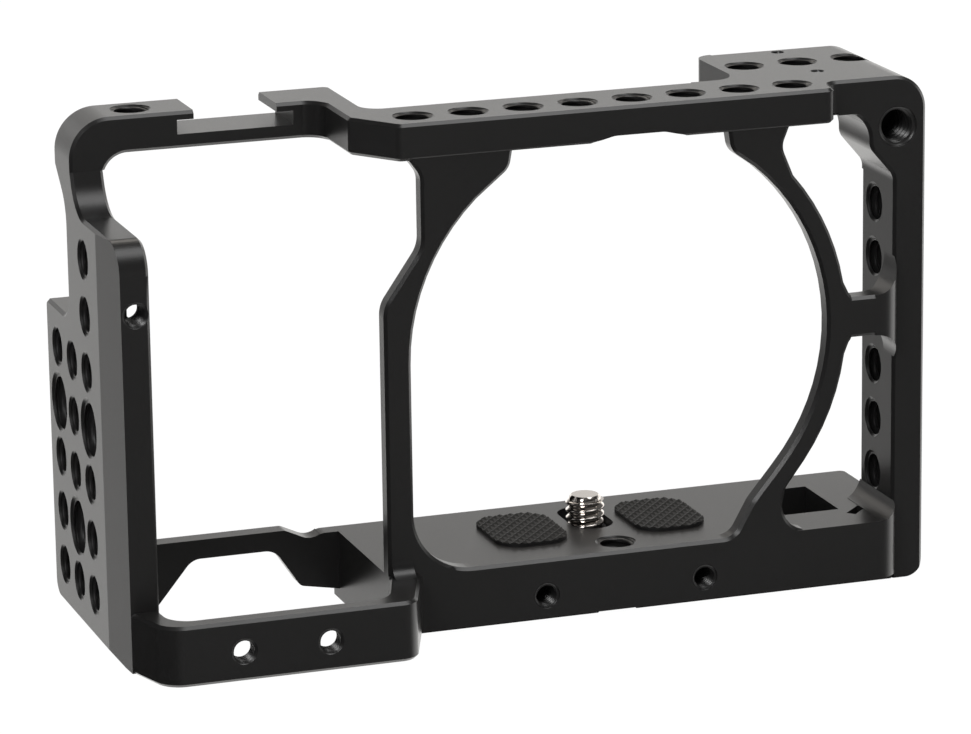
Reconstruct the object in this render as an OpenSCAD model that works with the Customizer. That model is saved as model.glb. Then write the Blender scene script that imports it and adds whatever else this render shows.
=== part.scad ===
// Camera cage: one milled aluminium frame that wraps a small interchangeable lens
// camera, with a captive camera screw and two rubber pads in its base.
// Lengths are in millimetres. Drawing places are measured from the first hole of
// the front top row, on the top face: x to the right, y to the back, z down is
// negative. The finished cage is then stood on the centre of its footprint.

/* [Overall] */
// Thickness of the base, from its foot to the face that the camera stands on
base_t = 11.4; // [11.2:0.1:12]
// Clear height between the base and the top bar, the camera's own height
camera_h = 66.4; // [64:0.1:70]
// First top hole to the outer face of the grip side plate
grip_reach = 50.2; // [48:0.1:56]
// First top hole to the outer face of the side rail
rail_reach = 85.9; // [84.5:0.1:92]
// Hole row to the back edge of the grip side plate
plate_back = 36.2; // [34:0.1:42]
// Hole row to the front face of the grip guard
guard_front = 18.4; // [17:0.1:24]
// Width of the milled chamfer along outer edges
edge = 0.5; // [0.2:0.05:0.7]

/* [Threaded holes] */
// Spacing of the threaded holes
pitch = 9; // [8.8:0.1:9.1]
// Radius of a quarter inch hole over its thread
quarter_r = 3.175; // [3:0.005:3.3]
// Radius of a three eighths inch hole over its thread
three_eighths_r = 4.7625; // [4.6:0.0025:4.9]
// Radius of a small hole over its thread
small_r = 2; // [1.5:0.05:2.2]
// Radius of an anti twist pin hole
pin_r = 1; // [0.8:0.05:1.2]
// Depth of an anti twist pin hole
pin_deep = 2.4; // [1:0.1:4]
// Width of the countersink round each hole
sink = 0.12; // [0.05:0.01:0.3]
// Depth of the blind small holes in the front of the base
small_deep = 6; // [4:0.1:8]
// Depth of the blind front accessory hole
accessory_deep = 9; // [6:0.1:11]

/* [Top bar] */
// Thickness of the top bar and its block
bar_h = 5.6; // [5:0.1:6]
// Hole row to the front face of the bar
bar_front = 5.7; // [5.5:0.1:6.4]
// Hole row to the back face of the bar
bar_back = 7.5; // [6:0.1:8]
// Least distance from the last hole of the row to the end of the bar
row_end = 5; // [4.5:0.1:5.2]
// Outer face of the rail to the right end of the bar's front face
bar_short = 17.7; // [16:0.1:18.4]
// Height of the shallow relief under the middle of the bar
relief_h = 1; // [0.5:0.1:1.5]
// Length of the relief
relief_len = 16.6; // [10:0.1:20]

/* [Top right block] */
// Width of the block, from its left face to the outer face of the rail
block_w = 29.1; // [28:0.1:30]
// Hole row to the back face of the block
block_back = 27.2; // [25:0.1:30]
// Front face of the block and rail, forward of the hole row
block_front = 0.5; // [0.3:0.1:2]
// Round of the block's upper outer corner
shoulder_r = 5.5; // [3:0.1:6]
// Row of three holes behind the front row
back_row_y = 16.6; // [15:0.1:18]
// Spacing of those three holes
back_row_pitch = 9.2; // [8.8:0.1:9.4]
// Outer face of the rail to the middle of those three
back_row_in = 15.2; // [15:0.1:15.9]
// Depth of the front accessory hole's centre under the top
accessory_drop = 8.2; // [7.5:0.1:9]

/* [Side rail] */
// Thickness of the rail
rail_t = 5.5; // [5:0.1:6]
// Hole row to the back edge of the rail
rail_back = 12.5; // [12:0.1:14]
// Hole row to the line of the rail's holes
rail_hole_y = 7.46; // [7:0.01:7.8]
// Depth of the first rail hole under the top
rail_hole_drop = 22.1; // [21.5:0.1:22.6]

/* [Lens ring] */
// First hole to the left edge of the lens opening
ring_left = 2.55; // [2.3:0.05:2.8]
// Outer face of the rail to the right edge of the lens opening
ring_in = 18.75; // [18.5:0.05:19.5]
// Middle of the lens opening above the middle of the camera
ring_up = 0.5; // [0.2:0.1:0.8]
// Width of the ring on the rail's side
ring_wall = 2.85; // [2.4:0.05:3.3]
// Hole row to the front face of the ring panel and the base
panel_front = 5.2; // [5:0.1:5.4]
// Thickness of the ring panel
panel_t = 3.2; // [2.6:0.1:3.6]
// Middle of the lens opening up to the upper edge of the bridge
bridge_up = 4; // [3.4:0.1:4.2]
// Height of the bridge to the rail
bridge_h = 6.6; // [6:0.1:7]

/* [Base] */
// First hole to the left wall of the base
base_left = 6.85; // [6.6:0.05:7]
// Outer face of the rail to the right edge of the base behind it
base_short = 3.4; // [2:0.1:4.4]
// Hole row to the back edge of the base
base_back = 24.65; // [24:0.05:27]
// Step up from the foot to the underside of the front lip and guard
foot_step = 1.75; // [1:0.05:2.5]
// Round of the corner between the base and the rail
foot_fillet_r = 8.5; // [6:0.1:8.5]
// Length of the lightening window
window_len = 9.4; // [8:0.1:9.8]
// Outer face of the rail to the right wall of the window
window_in = 13; // [12.4:0.1:13.8]
// Hole row to the front wall of the window
window_front = 3.8; // [3.5:0.1:5]
// Hole row to the back wall of the window
window_back = 18; // [16:0.1:20]
// Middle of the lens opening to the left small front hole
front_hole_left = 13; // [12.5:0.05:14]
// Middle of the lens opening to the right small front hole
front_hole_right = 13.75; // [12.5:0.05:14]
// Top of the base down to its small front holes
front_hole_down = 6; // [5:0.1:6.5]

/* [Camera screw] */
// Middle of the lens opening to the line of the camera screw
screw_off = 0.5; // [0:0.1:0.8]
// Hole row to the camera screw
screw_y = 14.4; // [14:0.1:15]
// Travel of the screw along its slot to each side
screw_travel = 3; // [1:0.1:3.2]
// Radius of the screw's thread
screw_r = 3.15; // [3:0.01:3.15]
// Height of the screw's tip over the base
tip_h = 4; // [3.5:0.1:4.2]
// Length of the thread
thread_len = 5.4; // [5:0.1:5.6]
// Radius of the plain neck
neck_r = 2.5; // [2.3:0.05:2.6]
// Radius of the head
head_r = 6.5; // [6:0.1:6.8]
// Thickness of the head
head_t = 2.4; // [2:0.1:2.6]
// Radius of the upper slot
slot_r = 3.5; // [3.45:0.05:3.7]
// Depth of the upper slot
slot_deep = 5.4; // [5.2:0.1:5.8]
// Thickness of the web that the neck passes
web_t = 1.6; // [1.4:0.1:1.8]
// Clearance round pieces that slide or turn
run_gap = 0.1; // [0.05:0.01:0.15]
// Thickness of the washer
washer_t = 0.6; // [0.4:0.1:0.8]
// Thickness of the retaining clip
clip_t = 0.7; // [0.5:0.05:0.8]

/* [Rubber pads] */
// Width of a pad
pad_w = 13.3; // [12:0.1:13.5]
// Depth of a pad
pad_d = 17.6; // [15:0.1:18]
// Round of a pad's corners
pad_r = 3.5; // [2:0.1:5]
// Height of a pad over the base
pad_proud = 0.8; // [0.4:0.1:1.2]
// Depth of the pocket that holds a pad
pad_pocket = 0.7; // [0.4:0.1:1]
// Hole row to the middle of the pads
pad_y = 10.2; // [10:0.1:11]
// Screw line to the middle of each pad
pad_reach = 11.9; // [11:0.1:12.5]

/* [Grip side plate] */
// Thickness of the plate's front flange and foot, and of the arm's leg
flange_t = 5.3; // [4.5:0.1:5.5]
// Thickness of the plate behind its flange
plate_t = 3.6; // [3:0.1:4.4]
// Depth of the flange from front to back
flange_d = 6.1; // [5:0.1:6.4]
// Hole row to the flange's front face
flange_front = 8.8; // [8.4:0.1:9.6]
// Top of the flange under the top of the cage
flange_drop = 14.3; // [13.5:0.1:14.6]
// Middle of the lens opening up to the top of the wide part of the plate
ledge_up = 5.9; // [5:0.1:6.4]
// Hole row to the front column of plate holes
column_y = 10.9; // [10.4:0.1:11.2]
// Spacing of the three columns
column_pitch = 9.3; // [9:0.1:9.4]
// Depth of the front column's first hole under the top
front_column_drop = 20.6; // [20.4:0.1:21]
// Top of the wide part down to the middle and back columns' first hole
ledge_to_hole = 6.5; // [6:0.1:6.8]
// Least distance from the lowest front hole to the foot of the plate
column_foot = 8; // [7:0.1:8.6]
// Depth of the small flange hole under the top
flange_hole_drop = 25.2; // [24:0.1:27]

/* [Top left arm and shoe] */
// Hole row to the front face of the arm
arm_front = 17; // [16.6:0.1:18]
// Hole row to the back face of the arm
arm_back = 27.1; // [26:0.1:28]
// Thickness of the arm
arm_h = 5.85; // [5.6:0.05:6.1]
// First top hole to the arm's own hole
arm_hole_x = 39.05; // [38.6:0.05:39.4]
// Width of the accessory shoe between its side walls
shoe_w = 18.8; // [18.6:0.05:19]
// Width of the shoe between its lips
shoe_mouth = 13.4; // [12:0.1:14]
// First top hole to the shoe's right side wall
shoe_right = 14.1; // [14:0.1:14.6]
// Depth of the shoe's floor
shoe_deep = 3.6; // [3.5:0.05:3.8]
// Thickness of the shoe's lips
lip_t = 1.35; // [1.2:0.05:1.5]
// First top hole to the jog's outer side
jog_left = 9.7; // [9.4:0.1:10]
// First top hole to the jog's back side
jog_right = 5.15; // [4.9:0.05:5.4]

/* [Grip guard and rear bar] */
// Wall of the guard
guard_t = 3.3; // [3:0.1:3.8]
// Outer face of the plate to the left guard hole
guard_hole_left = 15.9; // [15:0.1:17]
// Spacing of the two guard holes
guard_hole_pitch = 13.8; // [13:0.1:14.4]
// Top of the base down to the guard holes
guard_hole_down = 4.9; // [4.5:0.1:5.4]
// Thickness of the rear bar
rear_t = 3; // [2.4:0.1:3.6]
// Rise of the rear bar over the base
rear_rise = 1.1; // [0.8:0.1:1.4]
// Height of the arch under the rear bar
arch_h = 7.6; // [7:0.1:8]

/* [Hidden] */
$fn = 48;

cage_h = bar_h + camera_h + base_t;
base_top = -bar_h - camera_h;
lip_bottom = foot_step - cage_h;
base_low = -cage_h;
ring_r = (rail_reach - ring_in + ring_left) / 2;
ring_x = (rail_reach - ring_in - ring_left) / 2;
ring_out_r = ring_r + ring_wall;
ring_drop = bar_h + camera_h / 2 - ring_up;
bridge_drop = ring_drop - bridge_up;
bar_end = rail_reach - bar_short;
block_left = rail_reach - block_w;
back_row_x = rail_reach - back_row_in;
row_count = floor((bar_end - row_end) / pitch) + 1;
window_right = rail_reach - window_in;
base_right = rail_reach - base_short;
screw_x = ring_x + screw_off;
front_hole_drop = front_hole_down - base_top;
guard_hole_drop = guard_hole_down - base_top;
ledge_drop = ring_drop - ledge_up;
back_column_drop = ledge_drop + ledge_to_hole;
front_count = floor((cage_h - column_foot - front_column_drop) / pitch) + 1;
back_count = floor((cage_h - column_foot - back_column_drop) / pitch) + 1;
middle_x = (rail_reach - grip_reach) / 2;
middle_y = (plate_back - guard_front) / 2;
rail_in = rail_reach - rail_t;
plate_in = -grip_reach + flange_t;
// Overrun of every cut
over = 3 * edge;
// Largest turn between neighbouring points of a round
turn = 5;

// Aluminium and its darker front, chrome, washer and rubber
anodised = [0.16, 0.16, 0.17];
steel = [0.78, 0.77, 0.75];
black_steel = [0.3, 0.3, 0.32];
rubber = [0.06, 0.06, 0.06];

function unit(v) = v / norm(v);
function xy(p) = [p.x, p.y];

// Points of one corner of an outline, rounded to its radius
function corner_points(before, at, after, r) =
  let (
    a = unit(before - at), b = unit(after - at),
    half = acos(max(-1, min(1, a * b))) / 2,
    middle = at + unit(a + b) * r / sin(half),
    first = at + a * r / tan(half) - middle,
    last = at + b * r / tan(half) - middle,
    from = atan2(first.y, first.x),
    sweep = (atan2(last.y, last.x) - from + 540) % 360 - 180,
    steps = max(1, ceil(abs(sweep) / turn))
  )
  [for (i = [0:steps]) middle + r * [cos(from + sweep * i / steps), sin(from + sweep * i / steps)]];

// An outline whose corners are given as x, y and radius
function rounded(corners) =
  let (n = len(corners))
  [for (i = [0:n - 1])
    each (corners[i].z == 0 ? [xy(corners[i])]
      : corner_points(xy(corners[(i + n - 1) % n]), xy(corners[i]), xy(corners[(i + 1) % n]), corners[i].z))];

// Points along an arc, as corners of no radius
function arc_points(middle, r, from, to) =
  let (steps = ceil(abs(to - from) / turn))
  [for (i = [0:steps]) let (a = from + (to - from) * i / steps)
    [middle.x + r * cos(a), middle.y + r * sin(a), 0]];

// Twice the area inside an outline, positive if it runs anticlockwise
function signed_area(p) =
  let (n = len(p), parts = [for (i = [0:n - 1]) let (q = p[(i + 1) % n]) p[i].x * q.y - q.x * p[i].y])
  parts * [for (i = [0:n - 1]) 1];

// An anticlockwise outline drawn in by the same distance all round
function drawn_in(p, by) =
  let (n = len(p))
  [for (i = [0:n - 1])
    let (a = unit(p[i] - p[(i + n - 1) % n]), b = unit(p[(i + 1) % n] - p[i]))
    p[i] + [-a.y - b.y, a.x + b.x] * by / (1 + a * b)];

// Splits an anticlockwise outline into triangles, one corner after another
function turn_of(a, b, c) = (b.x - a.x) * (c.y - a.y) - (b.y - a.y) * (c.x - a.x);
function covers(a, b, c, q) =
  q != a && q != b && q != c && turn_of(a, b, q) >= 0 && turn_of(b, c, q) >= 0 && turn_of(c, a, q) >= 0;
function is_ear(p, left, i) =
  let (n = len(left), a = p[left[(i + n - 1) % n]], b = p[left[i]], c = p[left[(i + 1) % n]])
  turn_of(a, b, c) > 0 && len([for (k = left) if (covers(a, b, c, p[k])) k]) == 0;
function first_ear(p, left, i = 0) = i >= len(left) - 1 || is_ear(p, left, i) ? i : first_ear(p, left, i + 1);
function triangles(p, left) =
  len(left) == 3 ? [left]
    : let (n = len(left), i = first_ear(p, left))
      concat([[left[(i + n - 1) % n], left[i], left[(i + 1) % n]]],
        triangles(p, [for (k = [0:n - 1]) if (k != i) left[k]]));

// A plate of the given outline and thickness, with a chamfer round both of its faces
module slab(outline, t, by = edge) {
  p = signed_area(outline) > 0 ? outline : [for (i = [len(outline) - 1:-1:0]) outline[i]];
  small = drawn_in(p, by);
  n = len(p);
  cap = triangles(small, [for (i = [0:n - 1]) i]);
  rings = [[small, 0], [p, by], [p, t - by], [small, t]];
  points = [for (ring = rings) for (q = ring[0]) [q.x, q.y, ring[1]]];
  sides = [for (k = [0:2]) for (i = [0:n - 1])
    [k * n + i, (k + 1) * n + i, (k + 1) * n + (i + 1) % n, k * n + (i + 1) % n]];
  polyhedron(points, faces = concat(cap, sides, [for (c = cap) [for (i = [2:-1:0]) 3 * n + c[i]]]), convexity = 6);
}

// Turns a drawing of the front view upright, its depth running from y to the back
module front_view(y) { translate([0, y, 0]) rotate([90, 0, 0]) children(); }
// Turns a drawing of the side view upright, its depth running from x to the right
module side_view(x) { translate([x, 0, 0]) rotate([90, 0, 90]) children(); }

// Space of a threaded hole that opens both ways, pointing along z
module through_hole(r, from, to) {
  translate([0, 0, from - over]) cylinder(r = r, h = to - from + 2 * over);
  translate([0, 0, to - sink]) cylinder(r1 = r, r2 = r + sink + over, h = sink + over);
  translate([0, 0, from - over]) cylinder(r1 = r + sink + over, r2 = r, h = sink + over);
}
// Space of a threaded hole that opens upwards only
module blind_hole(r, deep) {
  translate([0, 0, -deep]) cylinder(r = r, h = deep + over);
  translate([0, 0, -sink]) cylinder(r1 = r, r2 = r + sink + over, h = sink + over);
}
// A block between two corners
module span(low, high) { translate(low) cube(high - low); }
// Everything to one side of a joint, for cutting a piece off flat there
far = 2 * (grip_reach + rail_reach);
module right_of(x) { translate([x, -far / 2, -far / 2]) cube(far); }
module left_of(x) { translate([x - far, -far / 2, -far / 2]) cube(far); }
module behind(y) { translate([-far / 2, y, -far / 2]) cube(far); }
module above(z) { translate([-far / 2, -far / 2, z]) cube(far); }
module below(z) { translate([-far / 2, -far / 2, z - far]) cube(far); }
// What a chamfer takes off a straight edge that runs along x, seen from the left
module edge_strip(from, to, y, z, up, back = 1) {
  translate([from, y, z]) rotate([90, 0, 90]) linear_extrude(height = to - from)
    polygon([[-back * (edge + over), up * over], [back * over, up * over], [back * over, -up * (edge + over)]]);
}

// Sizes of the grip side plate's outline
arm_inner_r = 4;
neck_back = 21.1;
neck_fillet_r = 4;
flange_corner_r = 5;
sweep_r = 7;
sweep_top = 16;
ledge_r = 1.2;
foot_corner_r = 3;
leg_drop = 8.3;
lean = 0.7;
lean_from = 2.6;
pocket_top = 18;

module grip_side_plate() {
  outline = rounded([
    [arm_front, -leg_drop + 2 * over, 0], [arm_front, -leg_drop, 0], [sweep_top - over, -flange_drop, sweep_r],
    [-flange_front, -flange_drop, flange_corner_r], [-flange_front, lip_bottom, 0],
    [plate_back, lip_bottom, foot_corner_r], [plate_back, -ledge_drop, ledge_r],
    [neck_back, -ledge_drop, neck_fillet_r], [neck_back, -flange_drop, sweep_r],
    [arm_back, -leg_drop - edge, over], [arm_back, -leg_drop + 2 * over, 0]
  ]);
  color(anodised) difference() {
    side_view(-grip_reach) slab(outline, flange_t);
    above(-leg_drop);
    // The outer face leans in towards the front flange
    translate([0, 0, -cage_h - over]) linear_extrude(height = cage_h) polygon([
      [-grip_reach, lean_from], [-grip_reach - over, lean_from], [-grip_reach - over, -flange_front - over],
      [-grip_reach + lean * (1 + over / (flange_front + lean_from)), -flange_front - over]
    ]);
    // Behind the flange the plate is thinner
    span([-grip_reach + plate_t, flange_d - flange_front, base_top],
      [plate_in + over, plate_back + over, -pocket_top]);
    // The round inside the arm's corner runs on into the neck
    front_view(arm_back + over) translate([plate_in + arm_inner_r, -arm_h - arm_inner_r])
      cylinder(r = arm_inner_r, h = arm_back + flange_front + 2 * over);
    side_view(-grip_reach) plate_holes();
    translate([-grip_reach + (flange_t + lean) / 2, -flange_front, -flange_hole_drop]) rotate([90, 0, 0])
      blind_hole(small_r, flange_d + over);
  }
}
// The three columns of threaded holes, with one large hole in each
module plate_holes() {
  for (k = [0:front_count - 1]) translate([column_y, -front_column_drop - k * pitch])
    through_hole(k == 3 ? three_eighths_r : quarter_r, 0, flange_t);
  for (k = [0:back_count - 1]) translate([column_y + column_pitch, -back_column_drop - k * pitch])
    through_hole(k == 3 ? three_eighths_r : quarter_r, 0, flange_t);
  for (k = [0:back_count - 1]) translate([column_y + 2 * column_pitch, -back_column_drop - k * pitch])
    through_hole(k == 1 ? three_eighths_r : quarter_r, 0, flange_t);
}

// Sizes of the arm and the shoe
arm_corner_r = 6.5;
shoe_wall = 1.5;
shoe_left = shoe_right + shoe_w;
lip_reach = (shoe_w - shoe_mouth) / 2;
arm_end = shoe_left + shoe_wall;
shoe_end = shoe_right - shoe_wall;

module top_left_arm() {
  outline = rounded([
    [-arm_end + over, 0, 0], [-grip_reach, 0, arm_corner_r], [-grip_reach, -leg_drop - 2 * over, 0],
    [plate_in, -leg_drop - 2 * over, 0], [plate_in, -arm_h, arm_inner_r],
    [-arm_end + over, -arm_h, 0]
  ]);
  color(anodised) difference() {
    front_view(arm_back) slab(outline, arm_back - arm_front);
    below(-leg_drop);
    right_of(-arm_end);
    translate([-arm_hole_x, (arm_front + arm_back) / 2, 0]) through_hole(quarter_r, -arm_h, 0);
  }
}

module accessory_shoe() {
  block = [
    [-arm_end - over, 0], [-arm_end - over, -arm_h], [-shoe_end + over, -arm_h], [-shoe_end + over, 0]
  ];
  color(anodised) difference() {
    front_view(arm_back) slab(block, arm_back - arm_front);
    left_of(-arm_end);
    right_of(-shoe_end);
    // The slot that an accessory foot slides into
    span([-shoe_left, arm_front - over, -shoe_deep], [-shoe_right, arm_back + over, -lip_t]);
    span([-shoe_left + lip_reach, arm_front - over, -lip_t - over], [-shoe_right - lip_reach, arm_back + over, over]);
  }
}

// Sizes of the jog between the shoe and the bar
jog_end = 2;
jog_corner_r = 3;
jog_slant = 5.6;
jog_slant_y = 2.25;

module jog_block() {
  outline = rounded([
    [-shoe_end - over, arm_front, 0], [-jog_left - over, arm_front, jog_corner_r], [-jog_left, arm_front - jog_corner_r, 0],
    [-jog_left, jog_slant_y, over], [jog_slant - jog_left, -bar_front, over], [-jog_end + over, -bar_front, 0],
    [-jog_end + over, bar_back, 0], [-jog_right, bar_back, jog_corner_r], [-jog_right, arm_back, over],
    [-shoe_end - over, arm_back, 0]
  ]);
  color(anodised) difference() {
    translate([0, 0, -arm_h]) slab(outline, arm_h);
    left_of(-shoe_end);
    right_of(-jog_end);
    through_hole(quarter_r, -bar_h, 0);
  }
}

// Sizes of the step at the bar's right end
step_in = 2.6;
step_r = 2.5;
bar_corner_r = 1.5;
bar_seat = bar_end + step_in;

relief_off = 2.9;
relief_x = ring_x + relief_off;
relief_r = 4;

module top_bar() {
  outline = rounded([
    [-jog_end - over, -bar_front, 0], [bar_end, -bar_front, bar_corner_r], [bar_end, -block_front, step_r],
    [bar_seat + over, -block_front, 0], [bar_seat + over, bar_back + over, 0], [-jog_end - over, bar_back + over, 0]
  ]);
  color(anodised) difference() {
    translate([0, 0, -bar_h]) slab(outline, bar_h);
    left_of(-jog_end);
    right_of(bar_seat);
    behind(bar_back);
    edge_strip(-jog_end - over, block_left - 2 * block_fillet_r, bar_back, 0, 1);
    edge_strip(-jog_end - over, block_left - 2 * block_fillet_r, bar_back, -bar_h, -1);
    for (k = [0:row_count - 1]) translate([k * pitch, 0, 0]) through_hole(quarter_r, -bar_h, 0);
    // Shallow relief under the middle of the bar, where the lens barrel comes closest
    front_view(bar_back + over) linear_extrude(height = bar_front + bar_back + 2 * over)
      polygon(rounded([
        [relief_x - relief_len / 2 - relief_h, -bar_h - relief_h, 0], [relief_x - relief_len / 2, -bar_h, relief_r],
        [relief_x - relief_len / 4, -bar_h + relief_h, relief_r],
        [relief_x + relief_len / 4, -bar_h + relief_h, relief_r], [relief_x + relief_len / 2, -bar_h, relief_r],
        [relief_x + relief_len / 2 + relief_h, -bar_h - relief_h, 0]
      ]));
  }
}

// Sizes of the block at the top right
block_corner_r = 3;
block_fillet_r = 4;
// Where a round that lies against a face begins, short of touching it all along
seat_turn = 12;
gusset_in = 9.6;
gusset_mid = rail_reach - gusset_in;
gusset_mid_drop = 11.4;
gusset_low_drop = 16.2;
gusset_r = 5;
gusset_lift = 0.4;
rail_top = -17.6;

shoulder_w = 10.6;
shoulder_seat = rail_reach - shoulder_w;
pin_reach = 8.4;
accessory_in = 4.9;
accessory_x = rail_reach - accessory_in;

gusset_middle = [gusset_mid - gusset_r, gusset_lift - bar_h - gusset_r];
gusset_start = acos(1 - gusset_lift / gusset_r);

// The part of the block that carries the back row's first two holes
module top_right_block() {
  plan = rounded(concat(
    arc_points([block_left - block_fillet_r, bar_back + block_fillet_r], block_fillet_r, -90, 0),
    [
      [block_left, block_back, block_corner_r], [shoulder_seat + over, block_back, 0],
      [shoulder_seat + over, -block_front, 0], [bar_seat - over, -block_front, 0],
      [bar_seat - over, bar_back - over, 0],
      [block_left - block_fillet_r, bar_back - over, 0]
    ]
  ));
  color(anodised) difference() {
    union() {
      translate([0, 0, -bar_h]) linear_extrude(height = bar_h) polygon(plan);
      front_view(rail_back) slab(rounded(concat(
        [[gusset_middle.x, over - bar_h, 0]],
        arc_points(gusset_middle, gusset_r, 90 - gusset_start / 2, 30),
        [[gusset_mid, over - bar_h, 0]]
      )), rail_back + block_front);
    }
    right_of(shoulder_seat);
    span([0, -block_front - over, -bar_h - over], [bar_seat, bar_back, over]);
    edge_strip(bar_seat - over, shoulder_seat + over, -block_front, 0, 1, -1);
    edge_strip(block_left + block_corner_r, shoulder_seat + over, block_back, 0, 1);
    back_row();
  }
}
// The outer shoulder, which turns down into the side rail
module rail_shoulder() {
  front = rounded(concat(
    [[shoulder_seat - over, 0, 0]],
    arc_points(gusset_middle, gusset_r, 60, 0),
    [
      [gusset_mid, -gusset_mid_drop, gusset_r / 2],
      [rail_in, -gusset_low_drop, gusset_r / 2], [rail_in, rail_top - over, 0],
      [rail_reach, rail_top - over, 0], [rail_reach, 0, shoulder_r]
    ]
  ));
  color(anodised) difference() {
    front_view(block_back) slab(front, block_back + block_front);
    below(rail_top);
    span([0, rail_back, rail_top - over], [rail_reach + over, block_back + over, -bar_h]);
    left_of(shoulder_seat);
    back_row();
    translate([accessory_x, -block_front, -accessory_drop]) rotate([90, 0, 0])
      blind_hole(quarter_r, accessory_deep);
  }
}
// The three holes of the back row, and the two small pin holes beside the middle one
module back_row() {
  for (k = [-1:1]) translate([back_row_x + k * back_row_pitch, back_row_y, 0])
    through_hole(quarter_r, -bar_h, 0);
  for (y = [-1, 1]) translate([back_row_x, back_row_y + y * pin_reach, 0]) blind_hole(pin_r, pin_deep);
}

// Sizes of the rail
rail_foot_r = 3;
rail_step = 2;

module side_rail() {
  plan = [
    [rail_in + edge, -block_front], [rail_reach - edge, -block_front], [rail_reach, edge - block_front],
    [rail_reach, rail_back - edge], [rail_reach - edge, rail_back], [rail_in + edge, rail_back],
    [rail_in, rail_back - edge], [rail_in, edge - block_front]
  ];
  front = rounded([
    [rail_in - over, rail_top + over, 0], [rail_in - over, base_low, 0],
    [rail_reach, base_low, rail_foot_r], [rail_reach, rail_top + over, 0]
  ]);
  color(anodised) difference() {
    intersection() {
      translate([0, 0, base_low]) linear_extrude(height = rail_top - base_low) polygon(plan);
      front_view(rail_back + over) linear_extrude(height = rail_back + block_front + 2 * over) polygon(front);
    }
    for (k = [0, 1, 3, 4, 5]) translate([rail_in, rail_hole_y, -rail_hole_drop - k * pitch])
      rotate([0, 90, 0]) through_hole(quarter_r, 0, rail_t);
  }
}

// Sizes of the lens ring's feet and necks, and the heights where its arcs begin and end
ring_middle = [ring_x, -ring_drop];
left_arc_drop = 12.81;
right_arc_drop = 11.6;
outer_arc_drop = 13.57;
right_arc_rise = 10.84;
outer_arc_rise = 11.54;
bridge_top_turn = 10;
bridge_low_turn = -8;
// Turn from the middle at which an arc of radius r reaches a height
function turn_at(z, r) = asin((z + ring_drop) / r);
left_neck_reach = 17.8;
left_neck = ring_x - left_neck_reach;
left_neck_drop = 8.4;
neck_r_small = 3;
post_neck = 0.5;
post_neck_drop = 19.8;
post_swell_drop = 28.8;
post_r = 5;
post_foot_r = 9.5;

module lens_ring_left() {
  outline = rounded(concat(
    [[left_neck, -bar_h + over, 0], [left_neck, -bar_h, 0], [left_neck - edge, -left_neck_drop, neck_r_small]],
    arc_points(ring_middle, ring_r, 180 - turn_at(-left_arc_drop, ring_r), 180),
    arc_points([ring_x - ring_r + post_foot_r, base_top + post_foot_r], post_foot_r, 180, 270),
    [
      [ring_x - ring_r + post_foot_r, base_top - over, 0], [-base_left, base_top - over, 0], [-base_left, -post_swell_drop, post_r],
      [-post_neck, -post_neck_drop, post_r], [-post_neck, -left_neck_drop, neck_r_small],
      [-jog_end - edge, -bar_h, 0], [-jog_end - edge, -bar_h + over, 0]
    ]
  ));
  panel(outline);
}

neck_in_reach = 18;
right_neck_in = ring_x + neck_in_reach;
neck_out_reach = 28.3;
right_neck_out = ring_x + neck_out_reach;
right_neck_drop = 8.8;
waist_reach = 27;
right_waist = ring_x + waist_reach;
toe_reach = 17;
right_toe_in = ring_x + toe_reach;
right_toe_r = 3;
toe_turn = 64;
knee_reach = 22;
right_knee = ring_x + knee_reach;
right_knee_rise = 5.7;
foot_reach = 27.2;
right_foot_out = ring_x + foot_reach;
right_foot_r = 4.5;
right_hip_rise = 7.2;
small_fillet_r = 1.5;
bridge_len = 9.2;
bridge_seat = rail_in - bridge_len;
bridge_low_drop = bridge_drop + bridge_h;

module lens_ring_right() {
  outline = rounded(concat(
    [[right_neck_in, -bar_h + over, 0], [right_neck_in, -bar_h, 0],
      [right_neck_in + edge, -right_neck_drop, neck_r_small]],
    arc_points(ring_middle, ring_r,
      turn_at(-right_arc_drop, ring_r), turn_at(base_top + right_arc_rise, ring_r)),
    [
      [right_knee, base_top + right_knee_rise, post_r]
    ],
    arc_points([right_toe_in, base_top + right_toe_r], right_toe_r, toe_turn - 90, -90),
    [[right_toe_in, base_top - over, 0],
      [right_foot_out + right_foot_r * (1 - sin(seat_turn)), base_top - over, 0]],
    arc_points([right_foot_out + right_foot_r, base_top + right_foot_r], right_foot_r, -90 - seat_turn, -180),
    [[right_foot_out + edge, base_top + right_hip_rise, neck_r_small]],
    arc_points([ring_x + edge, -ring_drop], ring_out_r,
      turn_at(base_top + outer_arc_rise, ring_out_r), bridge_low_turn),
    [[bridge_seat, -bridge_low_drop, small_fillet_r], [bridge_seat + over, -bridge_low_drop, 0],
      [bridge_seat + over, -bridge_drop, 0], [bridge_seat, -bridge_drop, small_fillet_r]],
    arc_points([ring_x + edge, -ring_drop], ring_out_r,
      bridge_top_turn, turn_at(-outer_arc_drop, ring_out_r)),
    [[right_waist, -right_neck_drop, neck_r_small], [right_neck_out, -bar_h, 0],
      [right_neck_out, -bar_h + over, 0]]
  ));
  difference() {
    panel(outline);
    right_of(bridge_seat);
  }
}
// The flat panel between the bar's underside and the base's top
module panel(outline) {
  color(anodised) difference() {
    front_view(panel_t - panel_front) slab(outline, panel_t);
    above(-bar_h);
    below(base_top);
  }
}

// Sizes of the bridge from the ring to the rail
bridge_round_r = 4.3;
bridge_fillet_r = 5;
bridge_back = 3.2;

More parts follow.
